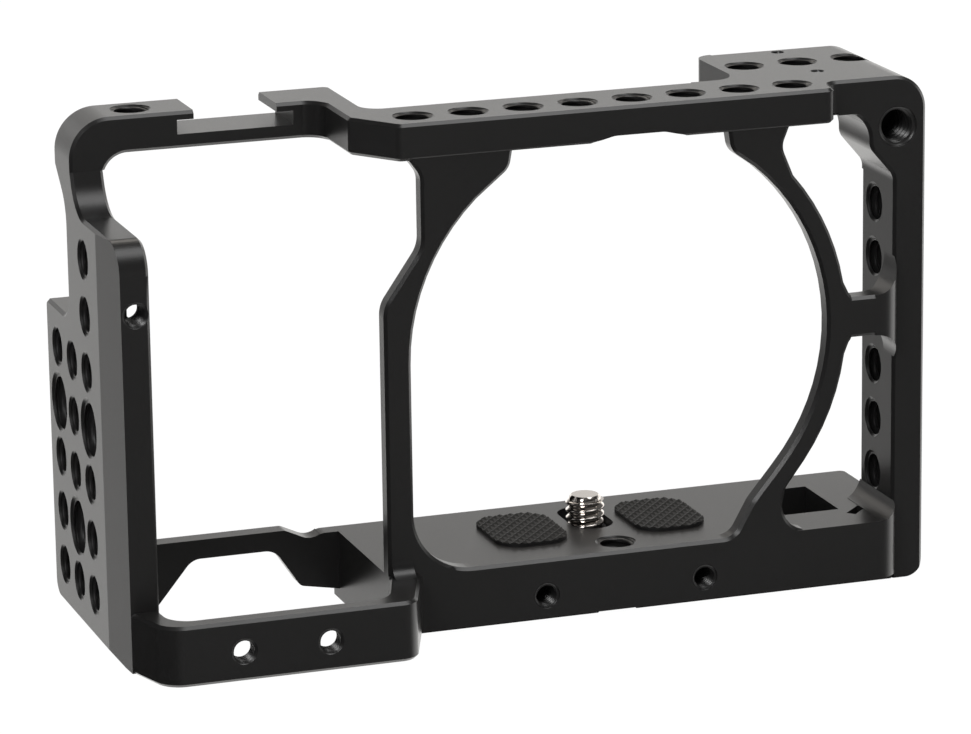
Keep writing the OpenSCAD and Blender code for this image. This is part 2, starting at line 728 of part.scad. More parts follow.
module ring_bridge() {
  front = rounded(concat(
    [[bridge_seat - over, -bridge_low_drop, 0]],
    arc_points([rail_in - bridge_fillet_r, -bridge_low_drop - bridge_fillet_r], bridge_fillet_r, 90, 0),
    [[rail_in + over, -bridge_low_drop - bridge_fillet_r, 0], [rail_in + over, bridge_fillet_r - bridge_drop, 0]],
    arc_points([rail_in - bridge_fillet_r, bridge_fillet_r - bridge_drop], bridge_fillet_r, 0, -90),
    [[bridge_seat - over, -bridge_drop, 0]]
  ));
  plan = rounded(concat(
    [[bridge_seat - over, -panel_front, 0]],
    arc_points([rail_in - bridge_round_r, bridge_round_r - panel_front], bridge_round_r, -90, 0),
    [[rail_in + over, bridge_round_r - panel_front, 0], [rail_in + over, bridge_back + over, 0],
      [rail_in, bridge_back, 0], [rail_in - bridge_fillet_r, panel_t - panel_front, bridge_fillet_r],
      [bridge_seat - over, panel_t - panel_front, 0]]
  ));
  color(anodised) difference() {
    intersection() {
      front_view(bridge_back + over) linear_extrude(height = bridge_back + panel_front + 2 * over) polygon(front);
      translate([0, 0, -cage_h]) linear_extrude(height = cage_h) polygon(plan);
    }
    left_of(bridge_seat);
    right_of(rail_in);
    edge_strip(bridge_seat - over, rail_in - bridge_fillet_r, -panel_front, -bridge_drop, 1, -1);
    edge_strip(bridge_seat - over, rail_in - bridge_fillet_r, -panel_front, -bridge_low_drop, -1, -1);
  }
}

// Sizes of the base's edges
base_corner_r = 1;
stop_hole_y = 0;
slot_len = 2 * screw_travel;
recess_r = head_r + 5 * run_gap;
narrow_r = neck_r + 3 * run_gap;
wrench_in = 10.5;
wrench_x = rail_reach - wrench_in;
wrench_y = 2.3;
wrench_w = 1.6;
wrench_len = 4.6;

// The foot of the lens opening, whose chamfer runs along the base's front edge
module opening_foot() {
  foot = [for (c = concat(
    arc_points([ring_x - ring_r + post_foot_r, base_top + post_foot_r], post_foot_r, 200, 270),
    arc_points([right_toe_in, base_top + right_toe_r], right_toe_r, -90, toe_turn - 90)
  )) xy(c)];
  wide = drawn_in(foot, -edge - over);
  n = len(foot);
  points = concat([for (q = foot) [q.x, edge - panel_front, q.y]], [for (q = wide) [q.x, -panel_front - over, q.y]]);
  polyhedron(points, faces = concat(
    [[for (i = [0:n - 1]) i]], [[for (i = [n - 1:-1:0]) n + i]],
    [for (i = [0:n - 1]) [i, n + i, n + (i + 1) % n, (i + 1) % n]]
  ), convexity = 2);
}

module base_plate() {
  plan = rounded([
    [-base_left, -panel_front, 0], [rail_in, -panel_front, bridge_round_r], [rail_in, rail_back, 0],
    [base_right, rail_back, 0], [base_right, base_back, base_corner_r], [-base_left, base_back, 0]
  ]);
  color(anodised) difference() {
    union() {
      translate([0, 0, lip_bottom]) linear_extrude(height = base_top - lip_bottom) polygon(plan);
      intersection() {
        translate([0, 0, base_low]) linear_extrude(height = foot_step) polygon(plan);
        span([-base_left, -block_front, base_low], [base_right, base_back, lip_bottom]);
      }
    }
    base_cuts();
    opening_foot();
  }
}
// Everything that is cut into the base
module base_cuts() {
  translate([screw_x, stop_hole_y, 0]) through_hole(quarter_r, base_low, base_top);
  for (x = [-front_hole_left, front_hole_right]) translate([ring_x + x, -panel_front, -front_hole_drop]) rotate([90, 0, 0])
    blind_hole(small_r, small_deep);
  // Stepped slot for the captive screw
  slot(slot_r, base_top - slot_deep, base_top + over);
  slot(narrow_r, base_top - slot_deep - web_t - over, base_top);
  slot(recess_r, base_low - over, base_top - slot_deep - web_t);
  for (side = [-1, 1]) translate([screw_x + side * pad_reach, pad_y, base_top - pad_pocket])
    linear_extrude(height = pad_pocket + over) polygon(pad_outline());
  span([window_right - window_len, window_front, base_low - over], [window_right, window_back, base_top + over]);
  // Small slot that keeps a hex key
  translate([wrench_x, wrench_y, base_top - wrench_len]) rotate([0, 0, 45])
    linear_extrude(height = wrench_len + foot_fillet_r) square([wrench_len, wrench_w], center = true);
}
module slot(r, low, high) {
  translate([screw_x, screw_y, low]) {
    for (side = [-1, 1]) translate([0, side * screw_travel, 0]) cylinder(r = r, h = high - low);
    translate([-r, -screw_travel, 0]) cube([2 * r, slot_len, high - low]);
  }
}

// The hollow round between the base's top and the rail's inner face
module base_corner() {
  back_r = window_back - rail_back;
  plan = rounded([
    [rail_in - foot_fillet_r, -panel_front, 0], [rail_in, -panel_front, bridge_round_r],
    [rail_in, rail_back, 0], [base_right, rail_back, 0], [base_right, window_back, 0],
    [rail_in, rail_back + back_r / 3, over], [rail_in - back_r + over, pad_y - edge, over],
    [rail_in - foot_fillet_r, pad_y - edge, 0]
  ]);
  color(anodised) difference() {
    intersection() {
      translate([0, 0, base_top]) linear_extrude(height = foot_fillet_r) polygon(plan);
      union() {
        span([rail_in - foot_fillet_r, -panel_front, base_top], [rail_in, window_back, base_top + foot_fillet_r]);
        span([rail_in, rail_back, base_top], [base_right, window_back, base_top + foot_fillet_r]);
      }
    }
    translate([rail_in - foot_fillet_r, -guard_front, base_top + foot_fillet_r]) rotate([-90, 0, 0])
      cylinder(r = foot_fillet_r, h = guard_front + window_back + over);
    translate([0, window_back, base_top + back_r]) rotate([0, 90, 0])
      cylinder(r = back_r, h = rail_reach + over);
    span([0, rail_back, base_top + back_r], [rail_reach, window_back + over, base_top + 2 * foot_fillet_r]);
    base_cuts();
  }
}

// Sizes of the guard
guard_left_r = 4.5;
guard_right_r = 3.2;
guard_inner_r = 3.6;
guard_slant = 2.9;
guard_right = 6.6;
guard_foot = 1.6;
guard_sweep_r = 2.5;

module grip_guard() {
  inner = guard_front - guard_t;
  plan = rounded([
    [-grip_reach + lean, -flange_front + over, 0], [-grip_reach + lean, -flange_front, 0],
    [-grip_reach + lean + guard_slant, -guard_front, guard_left_r],
    [-guard_right, -guard_front, guard_right_r], [-guard_foot, -panel_front, 0],
    [-guard_foot, -panel_front + over, 0], [-base_left, -panel_front + over, 0], [-base_left, -panel_front, 0],
    [-guard_right - guard_t - edge, -inner, guard_inner_r], [plate_in + edge, -inner, guard_inner_r],
    [plate_in, -flange_front, 0], [plate_in, -flange_front + over, 0]
  ]);
  color(anodised) {
    difference() {
      translate([0, 0, lip_bottom]) slab(plan, base_top - lip_bottom);
      span([-grip_reach - over, -flange_front, base_low], [-grip_reach / 2, 0, 0]);
      behind(-panel_front);
      for (k = [0, 1])
        translate([guard_hole_left + k * guard_hole_pitch - grip_reach, -inner, -guard_hole_drop]) rotate([90, 0, 0])
        through_hole(small_r, 0, guard_t);
    }
    // The guard's top sweeps up to the front of the lens ring
    difference() {
      span([-base_left + edge, -panel_front - guard_sweep_r, base_top - edge],
        [-guard_foot - guard_sweep_r / 2, -panel_front, base_top + guard_sweep_r]);
      translate([-grip_reach, -panel_front - guard_sweep_r, base_top + guard_sweep_r]) rotate([0, 90, 0])
        cylinder(r = guard_sweep_r, h = grip_reach);
    }
  }
}

// Sizes of the rear bar
scoop_from = 15.8;
scoop_deep = 2.1;
arch_left_in = 12.6;
arch_left = grip_reach - arch_left_in;
arch_top_in = 18.9;
arch_left_top = grip_reach - arch_top_in;
arch_right_top = 17.6;
arch_right = 13.4;
arch_r = 3;
arch_foot = 1.2;

module rear_bar() {
  outline = rounded([
    [plate_in, base_top + rear_rise, 0], [plate_in, lip_bottom, 0], [-arch_left, lip_bottom, 0],
    [-arch_left_top, lip_bottom + arch_h, arch_r], [-arch_right_top, lip_bottom + arch_h, arch_r],
    [-arch_right, lip_bottom + arch_foot, arch_r / 2], [-base_left, lip_bottom, 0], [-base_left, base_top, 0],
    [-base_left - arch_r, base_top, arch_r], [-(scoop_from + base_left) / 2, base_top + rear_rise - scoop_deep, arch_r],
    [-scoop_from, base_top + rear_rise, over]
  ]);
  color(anodised) front_view(base_back) linear_extrude(height = rear_t) polygon(outline);
}

// The pad's outline, whose sides bow out a little
pad_bow = 0.35;
function pad_outline() = rounded([
  [-pad_w / 2, -pad_d / 2, pad_r], [0, -pad_d / 2 - pad_bow, 0], [pad_w / 2, -pad_d / 2, pad_r],
  [pad_w / 2 + pad_bow, 0, 0], [pad_w / 2, pad_d / 2, pad_r], [0, pad_d / 2 + pad_bow, 0],
  [-pad_w / 2, pad_d / 2, pad_r], [-pad_w / 2 - pad_bow, 0, 0]
]);
module pad(side) {
  color(rubber) translate([screw_x + side * pad_reach, pad_y, base_top - pad_pocket])
    linear_extrude(height = pad_pocket + pad_proud) polygon(pad_outline());
}
module left_pad() { pad(-1); }
module right_pad() { pad(1); }

// Sizes of the captive screw, measured down from its tip
tip_r = 2.2;
tip_bevel = 0.9;
groove_deep = 0.2;
coin_w = 1.6;
coin_deep = 1.3;
head_edge = 0.3;
shoulder_low = base_low + run_gap + head_t;
web_low = base_top - slot_deep - web_t;

// The washer that lies against the web and rides along the slot
module screw_washer() {
  color(steel) translate([screw_x, screw_y, web_low - run_gap / 2 - washer_t]) difference() {
    cylinder(r = recess_r - 2 * run_gap, h = washer_t);
    translate([0, 0, -over]) cylinder(r = neck_r + run_gap, h = washer_t + 2 * over);
  }
}
// The snap ring under the thread, which keeps the screw in its slot
module retaining_clip() {
  color(black_steel) translate([screw_x, screw_y, base_top + tip_h - thread_len - clip_t]) difference() {
    cylinder(r = slot_r - run_gap, h = clip_t);
    translate([0, 0, -over]) cylinder(r = neck_r - groove_deep + run_gap / 2, h = clip_t + 2 * over);
  }
}
module camera_screw() {
  tip = base_top + tip_h;
  color(steel) translate([screw_x, screw_y, 0]) difference() {
    rotate_extrude() polygon([
      [0, tip], [tip_r, tip], [screw_r, tip - tip_bevel], [screw_r, tip - thread_len + run_gap / 2],
      [neck_r - groove_deep, tip - thread_len + run_gap / 2], [neck_r - groove_deep, tip - thread_len - clip_t - run_gap / 2],
      [neck_r, tip - thread_len - clip_t - run_gap / 2], [neck_r, shoulder_low],
      [head_r - head_edge, shoulder_low], [head_r, shoulder_low - head_edge],
      [head_r, base_low + run_gap + head_edge], [head_r - head_edge, base_low + run_gap], [0, base_low + run_gap]
    ]);
    // Coin slot in the head
    translate([-head_r - over, -coin_w / 2, base_low - over]) cube([2 * head_r + 2 * over, coin_w, coin_deep + run_gap + over]);
  }
}

// Stands the drawing on the centre of its footprint
module stood() { translate([-middle_x, -middle_y, cage_h]) children(); }

stood() grip_side_plate();
stood() top_left_arm();
stood() accessory_shoe();
stood() jog_block();
stood() top_bar();
stood() top_right_block();
stood() rail_shoulder();
stood() side_rail();
stood() lens_ring_left();
stood() lens_ring_right();
stood() ring_bridge();
stood() base_plate();
stood() base_corner();
stood() grip_guard();
stood() rear_bar();
stood() left_pad();
stood() right_pad();
stood() screw_washer();
stood() retaining_clip();
stood() camera_screw();
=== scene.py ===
import bpy, bmesh
from math import cos, sin, pi, radians
from mathutils import Matrix, Vector


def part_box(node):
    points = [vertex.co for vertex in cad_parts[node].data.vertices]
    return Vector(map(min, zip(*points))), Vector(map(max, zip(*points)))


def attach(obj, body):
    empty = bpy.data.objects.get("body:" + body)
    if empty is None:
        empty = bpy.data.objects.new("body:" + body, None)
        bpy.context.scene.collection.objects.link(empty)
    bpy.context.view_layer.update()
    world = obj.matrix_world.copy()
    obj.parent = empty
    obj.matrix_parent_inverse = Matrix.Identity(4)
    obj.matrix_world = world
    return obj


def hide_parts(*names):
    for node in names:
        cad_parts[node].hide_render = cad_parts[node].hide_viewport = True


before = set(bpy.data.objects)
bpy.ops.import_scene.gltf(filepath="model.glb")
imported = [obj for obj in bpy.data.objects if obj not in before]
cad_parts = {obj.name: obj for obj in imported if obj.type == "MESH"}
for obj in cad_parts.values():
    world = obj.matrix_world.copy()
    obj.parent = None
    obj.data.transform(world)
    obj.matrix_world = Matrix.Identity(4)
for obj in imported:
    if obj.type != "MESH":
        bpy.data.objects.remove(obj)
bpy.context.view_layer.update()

# The camera stands in front of the grip corner, a little above the cage, and looks down
# on it through a long lens. Its place was fitted to the threaded holes of the photograph.
camera = bpy.data.cameras.new("photo_camera")
camera.sensor_width = 36
camera.lens = 182.24
camera.shift_x, camera.shift_y = -0.00222, 0.00256
camera.clip_start, camera.clip_end = 0.01, 30
camera_place = (-0.24521, -0.71430, 0.23878)
yaw, dip, roll = radians(18.715), radians(14.809), radians(-0.801)
ahead = Vector((sin(yaw) * cos(dip), cos(yaw) * cos(dip), -sin(dip)))
right = Vector((cos(yaw), -sin(yaw), 0))
down = ahead.cross(right)
right, down = cos(roll) * right - sin(roll) * down, sin(roll) * right + cos(roll) * down
camera_turn = Matrix((right, -down, -ahead)).transposed().to_4x4()
camera_object = bpy.data.objects.new("photo_camera", camera)
camera_object.matrix_world = Matrix.Translation(camera_place) @ camera_turn
bpy.context.scene.collection.objects.link(camera_object)
bpy.context.scene.camera = camera_object

# The frame is one block of aluminium, milled, blasted with fine beads and dyed black. Its
# members are shown as their milled solids with the rounds made smooth, so that they read
# as one continuous surface from the grip side round to the rail.
def surface_finish(name, dark, light, mottle, grain, gloss, relief=None, sockets=()):
    # Mottle and grain are the scale and detail of a noise. The mottle mixes the two tones,
    # the grain spreads the gloss, and relief is the grain's strength and height
    finish = bpy.data.materials.new(name)
    finish.use_nodes = True
    nodes, links = finish.node_tree.nodes, finish.node_tree.links
    shader = nodes["Principled BSDF"]
    for socket, value in sockets:
        shader.inputs[socket].default_value = value
    place = nodes.new("ShaderNodeTexCoord")
    noises = []
    for scale, detail in (mottle, grain):
        noise = nodes.new("ShaderNodeTexNoise")
        noise.inputs["Scale"].default_value = scale
        noise.inputs["Detail"].default_value = detail
        links.new(place.outputs["Object"], noise.inputs["Vector"])
        noises.append(noise.outputs["Fac"])
    tone = nodes.new("ShaderNodeMix")
    tone.data_type = "RGBA"
    tone.inputs["A"].default_value = (*dark, 1)
    tone.inputs["B"].default_value = (*light, 1)
    links.new(noises[0], tone.inputs["Factor"])
    links.new(tone.outputs["Result"], shader.inputs["Base Color"])
    spread = nodes.new("ShaderNodeMapRange")
    spread.inputs["To Min"].default_value, spread.inputs["To Max"].default_value = gloss
    links.new(noises[1], spread.inputs["Value"])
    links.new(spread.outputs["Result"], shader.inputs["Roughness"])
    if relief:
        bump = nodes.new("ShaderNodeBump")
        bump.inputs["Strength"].default_value, bump.inputs["Distance"].default_value = relief
        links.new(noises[1], bump.inputs["Height"])
        links.new(bump.outputs["Normal"], shader.inputs["Normal"])
    return finish

# The dye takes a little unevenly over the part, and the beads leave a fine even grain
black_anodising = surface_finish(
    "black_anodising", dark=(0.00943, 0.009184, 0.009266), light=(0.01357, 0.013216, 0.013334),
    mottle=(38, 4), grain=(5200, 3), gloss=(0.25, 0.35), relief=(0.3, 0.00004),
    sockets=(("Metallic", 0), ("IOR", 1.6), ("Specular IOR Level", 0.5)))

def finished(name, shape, finish, body, sharp=28):
    # Edges that turn by more than the sharp angle, in degrees, stay crisp
    bmesh.ops.recalc_face_normals(shape, faces=shape.faces)
    for face in shape.faces:
        face.smooth = True
    mesh = bpy.data.meshes.new(name)
    shape.to_mesh(mesh)
    shape.free()
    mesh.set_sharp_from_angle(angle=radians(sharp))
    mesh.materials.append(finish)
    piece = bpy.data.objects.new(name, mesh)
    bpy.context.scene.collection.objects.link(piece)
    even = piece.modifiers.new("even_shading", "WEIGHTED_NORMAL")
    even.keep_sharp = True
    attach(piece, body)
    return piece

def solid_of(node):
    shape = bmesh.new()
    shape.from_mesh(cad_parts[node].data)
    for layer in list(shape.loops.layers.float_vector.values()):
        shape.loops.layers.float_vector.remove(layer)
    bmesh.ops.remove_doubles(shape, verts=shape.verts, dist=2e-6)
    # Each flat becomes one face, so that no triangle of it shades by itself
    bmesh.ops.dissolve_limit(shape, angle_limit=radians(0.7), verts=shape.verts,
                             edges=shape.edges, delimit=set())
    return shape

milled_members = ["grip_side_plate", "top_left_arm", "accessory_shoe", "jog_block",
                  "top_right_block", "rail_shoulder", "side_rail", "lens_ring_left",
                  "lens_ring_right", "ring_bridge", "base_plate", "grip_guard", "rear_bar"]
for node in milled_members:
    # The front flange of the side plate leans so little that only a low limit keeps its edge
    edge_limit = 15 if node == "grip_side_plate" else 28
    member = finished("milled_" + node, solid_of(node), black_anodising, "frame",
                      sharp=edge_limit)
    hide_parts(node)

# The top bar is milled with the rest of the frame and carries the front row of holes. It
# stands a little proud of the shoulder, so its right front corner is rounded off upright.
def cut_off(shape, point, way, close=True):
    # What lies beyond the plane through the point goes, and the cut is closed
    bmesh.ops.bisect_plane(shape, geom=shape.verts[:] + shape.edges[:] + shape.faces[:],
                           dist=1e-7, plane_co=point, plane_no=way, clear_outer=True)
    if close:
        bmesh.ops.holes_fill(shape, edges=[e for e in shape.edges if e.is_boundary])

bar = solid_of("top_bar")
bar_low, bar_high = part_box("top_bar")
end_round = 0.0014
round_middle = Vector((bar_high[0] - end_round, bar_low[1] + end_round, 0))
for degrees in (12, 26, 40, 54, 68, 80):
    way = Vector((cos(radians(degrees)), -sin(radians(degrees)), 0))
    cut_off(bar, round_middle + end_round * way, way)
milled_bar = finished("milled_top_bar", bar, black_anodising, "frame")
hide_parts("top_bar")

# The inner corner where the base turns up into the side rail keeps a low fillet, left by a
# ball-nosed cutter. It runs out into the rail below the rail's lowest hole.
rail_face, base_face = 0.06255, 0.0114
corner_round, fillet_length, fillet_front, sunk_in_rail = 0.0044, 0.0177, -0.0141, 0.0007
fillet = bmesh.new()
bmesh.ops.create_grid(fillet, x_segments=1, y_segments=1, size=corner_round / 2)
bmesh.ops.translate(fillet, verts=fillet.verts, vec=(-corner_round / 2, corner_round / 2, 0))
far_corner = [v for v in fillet.verts
              if v.co.x < -0.5 * corner_round and v.co.y > 0.5 * corner_round]
bmesh.ops.bevel(fillet, geom=far_corner, offset=0.99 * corner_round, offset_type="OFFSET",
                affect="VERTICES", segments=14, profile=0.08, material=-1)
fillet_walls = bmesh.ops.extrude_face_region(fillet, geom=fillet.faces[:])["geom"]
far_end = [v for v in fillet_walls if isinstance(v, bmesh.types.BMVert)]
bmesh.ops.translate(fillet, verts=far_end, vec=(0, 0, fillet_length))
laid_along_rail = Matrix(((1, 0, 0, rail_face + sunk_in_rail), (0, 0, 1, fillet_front),
                          (0, 1, 0, base_face), (0, 0, 0, 1)))
bmesh.ops.transform(fillet, verts=fillet.verts, matrix=laid_along_rail)
# It ends level with the rail's face, runs out at a slant behind, and follows the upright
# round of the base's corner in front
run_out_start, run_out_way = Vector((rail_face, 0.0036, 0)), Vector((-0.67, 0.74, 0))
cut_off(fillet, Vector((rail_face, 0, 0)), Vector((1, 0, 0)))
cut_off(fillet, run_out_start, run_out_way)
base_round = 0.0043
base_round_middle = Vector((rail_face - base_round, -0.0098, 0))
for degrees in range(5, 95, 10):
    way = Vector((sin(radians(degrees)), -cos(radians(degrees)), 0))
    cut_off(fillet, base_round_middle + base_round * way, way)
low_fillet = finished("milled_base_corner", fillet, black_anodising, "frame",
                      sharp=40)
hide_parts("base_corner")

# Every hole is tapped: a thread of one turn after another runs down its wall. The turns are
# wound as one closed ridge with a blunt crest and cut level with the mouths of the hole.
wall_overlap, mouth_gap = 0.00004, 0.0001

def wound_ridge(crest, root, pitch, low, high, inward=1, steps=28):
    # Crest and root are radii, and inward is 1 in a hole and -1 on a screw
    shape = bmesh.new()
    half_root, half_crest = 0.46 * pitch, 0.08 * pitch
    shoulder = crest + 0.2 * (root - crest)
    sunk = root + inward * wall_overlap
    outline = [(sunk, -half_root), (shoulder, -2.1 * half_crest), (crest, -half_crest),
               (crest, half_crest), (shoulder, 2.1 * half_crest), (sunk, half_root)]
    profile = [shape.verts.new((r, 0, z)) for r, z in outline]
    loop = [shape.edges.new((profile[i], profile[(i + 1) % 6])) for i in range(6)]
    turns = int((high - low) / pitch) + 3
    bmesh.ops.spin(shape, geom=profile + loop, cent=(0, 0, 0), axis=(0, 0, 1),
                   angle=2 * pi * turns, steps=steps * turns, dvec=(0, 0, pitch / steps))
    bmesh.ops.translate(shape, verts=shape.verts, vec=(0, 0, low - 1.3 * pitch))
    for height, way in ((low, -1), (high, 1)):
        cut_off(shape, (0, 0, height), (0, 0, way), close=False)
    bmesh.ops.holes_fill(shape, edges=[e for e in shape.edges if e.is_boundary])
    bmesh.ops.recalc_face_normals(shape, faces=shape.faces)
    return shape

def tapped(name, holes, thread, deep, up, blind=False, trims=()):
    # Holes are the middles of their mouths, and up is the way out of the mouth
    major, pitch = thread
    minor = major - 0.5 * pitch
    lead = 0.16 * pitch
    ridge = wound_ridge(minor, major, pitch, mouth_gap + lead - deep, -mouth_gap - lead)
    # The tap's lead leaves a cone between the mouth and the first turn
    outline = [(major + wall_overlap, 0), (major - 1.3 * lead, lead),
               (major - 1.3 * lead, 1.3 * lead), (major + wall_overlap, 1.5 * lead)]
    mouths = [(-mouth_gap, -1)] if blind else [(-mouth_gap, -1), (mouth_gap - deep, 1)]
    for mouth, way in mouths:
        wedge = [ridge.verts.new((r, 0, mouth + way * z)) for r, z in outline]
        band = [ridge.edges.new((wedge[i], wedge[(i + 1) % 4])) for i in range(4)]
        bmesh.ops.spin(ridge, geom=wedge + band, cent=(0, 0, 0), axis=(0, 0, 1),
                       angle=2 * pi, steps=40)
        seam = [v for v in ridge.verts if v.is_boundary or v.is_wire]
        bmesh.ops.remove_doubles(ridge, verts=seam, dist=1e-7)
    turn = Vector((0, 0, 1)).rotation_difference(Vector(up)).to_matrix().to_4x4()
    mould = bpy.data.meshes.new(name + "_mould")
    ridge.to_mesh(mould)
    ridge.free()
    row = bmesh.new()
    for hole in holes:
        before = len(row.verts)
        row.from_mesh(mould)
        row.verts.ensure_lookup_table()
        bmesh.ops.transform(row, matrix=Matrix.Translation(hole) @ turn,
                            verts=row.verts[before:])
    bpy.data.meshes.remove(mould)
    for point, way in trims:
        cut_off(row, point, way)
    finished(name, row, black_anodising, "frame", sharp=40)

# Each thread is its outer radius and its pitch
quarter_inch, three_eighths_inch = (0.003175, 0.00127), (0.0047625, 0.0015875)
small_metric = (0.002, 0.0007)
upward, forward, to_grip, to_rail = (0, 0, 1), (0, -1, 0), (-1, 0, 0), (1, 0, 0)
hole_step, back_step = 0.009, 0.0092
top, top_deep = 0.0834, 0.0056

# The relief under the top bar leaves less depth for two holes of the front row
front_row = [(-0.01785 + hole_step * k, -0.0089, top) for k in range(8)]
tapped("top_row_threads", front_row[:3] + front_row[5:], quarter_inch, top_deep, upward)
tapped("relief_threads", front_row[3:5], quarter_inch, deep=0.0045, up=upward)

# The third hole of the back row runs into the round of the shoulder
back_row = [(0.05285 + back_step * k, 0.0077, top) for k in (-1, 0, 1)]
tapped("back_row_threads", back_row[:2], quarter_inch, top_deep, upward)
shoulder_round, shoulder_middle = 0.00542, Vector((0.06255, 0, 0.0779))
round_trims = []
for degrees in (12, 24, 36, 48):
    way = Vector((sin(radians(degrees)), 0, cos(radians(degrees))))
    round_trims.append((shoulder_middle + shoulder_round * way, way))
tapped("shoulder_thread", back_row[2:], quarter_inch, top_deep, upward, trims=round_trims)

arm_hole, accessory_hole = (-0.0569, 0.01315, top), (0.06315, -0.0094, 0.0752)
tapped("arm_thread", [arm_hole], quarter_inch, deep=0.00585, up=upward)
tapped("accessory_thread", [accessory_hole], quarter_inch, deep=0.009, up=forward, blind=True)
rail_row = [(0.06805, -0.00144, 0.0613 - hole_step * k) for k in (0, 1, 3, 4, 5)]
tapped("rail_threads", rail_row, quarter_inch, deep=0.0055, up=to_rail)

# The side plate has three columns: depth from the front, highest hole, how many holes there
# are, and which of them is the larger one
plate_face, plate_deep = -0.06805, 0.0036
plate_columns = [(0.002, 0.0628, 7, 3), (0.0113, 0.0445, 5, 3), (0.0206, 0.0445, 5, 1)]
for column, (y, highest, count, large) in enumerate(plate_columns):
    places = [(plate_face, y, highest - hole_step * k) for k in range(count)]
    large_place = places.pop(large)
    tapped("plate_threads_%d" % column, places, quarter_inch, plate_deep, to_grip)
    tapped("plate_large_thread_%d" % column, [large_place], three_eighths_inch, plate_deep,
           to_grip)

base_hole, flange_hole = (0.01495, -0.0089, base_face), (-0.06505, -0.0177, 0.0582)
tapped("base_thread", [base_hole], quarter_inch, deep=0.00965, up=upward)
base_front_pair = [(x, fillet_front, 0.0054) for x in (0.00145, 0.0282)]
tapped("base_front_threads", base_front_pair, small_metric, deep=0.006, up=forward, blind=True)
guard_pair = [(x, -0.0273, 0.0065) for x in (-0.05215, -0.03835)]
tapped("guard_threads", guard_pair, small_metric, deep=0.0033, up=forward)
tapped("flange_thread", [flange_hole], small_metric, deep=0.0061, up=forward, blind=True)

# The two pads are moulded black rubber, glued into pockets of the base. Their faces carry a
# fine diamond knurl, whose points make the rim look toothed.
rubber_grain = (900, 5)
pad_rubber = surface_finish(
    "pad_rubber", dark=(0.006, 0.006, 0.006), light=(0.013, 0.0127, 0.0125),
    mottle=rubber_grain, grain=rubber_grain, gloss=(0.45, 0.6),
    sockets=(("Specular IOR Level", 0.4),))

knurl, knurl_stretch, point_height, rows_of_points = 0.0013, 1.15, 0.00036, 22
pad_corner, pad_depth, pad_middle_y = 0.0042, 0.0163, 0.00195
for node, left, across in (("left_pad", -0.0033, 0.0122), ("right_pad", 0.0205, 0.0119)):
    low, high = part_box(node)
    shape = bmesh.new()
    bmesh.ops.create_grid(shape, x_segments=rows_of_points, y_segments=rows_of_points,
                          size=rows_of_points / 2 * knurl)
    bmesh.ops.rotate(shape, verts=shape.verts, cent=(0, 0, 0),
                     matrix=Matrix.Rotation(radians(45), 3, "Z"))
    bmesh.ops.scale(shape, verts=shape.verts, vec=(1, knurl_stretch, 1))
    bmesh.ops.poke(shape, faces=shape.faces[:], offset=point_height)
    for degrees in range(0, 360, 10):
        out = Vector((cos(radians(degrees)), sin(radians(degrees)), 0))
        reach = (abs(out.x) * (across / 2 - pad_corner)
                 + abs(out.y) * (pad_depth / 2 - pad_corner) + pad_corner)
        cut_off(shape, out * reach, out, close=False)
    rim = [e for e in shape.edges if e.is_boundary]
    skirt = bmesh.ops.extrude_edge_only(shape, edges=rim)["geom"]
    for v in skirt:
        if isinstance(v, bmesh.types.BMVert):
            v.co.z = low.z - high.z + point_height
    bmesh.ops.holes_fill(shape, edges=[e for e in shape.edges if e.is_boundary])
    bmesh.ops.translate(shape, verts=shape.verts,
                        vec=(left + across / 2, pad_middle_y, high.z - point_height))
    pad = finished("knurled_" + node, shape, pad_rubber, "frame", sharp=20)
    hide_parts(node)
    # The pad is a little smaller than its pocket's outline, and a land closes the rest
    land_overlap, land_thick, land_top = 0.0004, 0.00062, 0.011402
    land_middle = ((low.x + high.x) / 2, (low.y + high.y) / 2, land_top - land_thick / 2)
    land = bmesh.new()
    bmesh.ops.create_cube(land, size=1)
    bmesh.ops.scale(land, verts=land.verts,
                    vec=(high.x - low.x + land_overlap, high.y - low.y + land_overlap, land_thick))
    bmesh.ops.translate(land, verts=land.verts, vec=land_middle)
    finished("land_of_" + node, land, black_anodising, "frame")

# The camera screw is turned from steel and plated with bright nickel. A plain neck and a
# slotted head carry it in the base, and its thread fits the camera's tripod socket.
def turned_metal(name, colour, roughness, relief=None):
    wear = (700, 4)
    return surface_finish(name, [0.9 * c for c in colour], colour, wear, wear,
                          (0.7 * roughness, 1.3 * roughness), relief, (("Metallic", 1),))

bright_nickel = turned_metal("bright_nickel", (0.80, 0.745, 0.70), 0.13)
screw_line = Vector((0.01495, 0.0055, 0))
tip, thread_length, foot_gap, tip_bevel = 0.0154, 0.0054, 0.0001, 0.0008
thread_foot = tip - thread_length
core, crest = 0.00262, 0.00315
screw_shape = solid_of("camera_screw")
for v in screw_shape.verts:
    out = Vector((v.co.x - screw_line.x, v.co.y - screw_line.y, 0))
    # The threaded length is brought in to the core, on which the turns are wound
    if v.co.z > thread_foot - 2 * foot_gap and out.length > core:
        v.co -= out * (1 - core / out.length)
screw = finished("nickel_screw", screw_shape, bright_nickel, "screw_body")
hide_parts("camera_screw")
turns = wound_ridge(crest, core, quarter_inch[1], thread_foot + foot_gap, tip - tip_bevel,
                    inward=-1, steps=48)
# The crests of the last turns are turned down towards the tip
tip_radius, slope = 0.00235, 0.9
for v in turns.verts:
    out = Vector((v.co.x, v.co.y, 0))
    most = tip_radius + (tip - v.co.z) * slope
    if out.length > most:
        v.co.x *= most / out.length
        v.co.y *= most / out.length
bmesh.ops.translate(turns, verts=turns.verts, vec=screw_line)
finished("nickel_screw_thread", turns, bright_nickel, "screw_body", sharp=75)

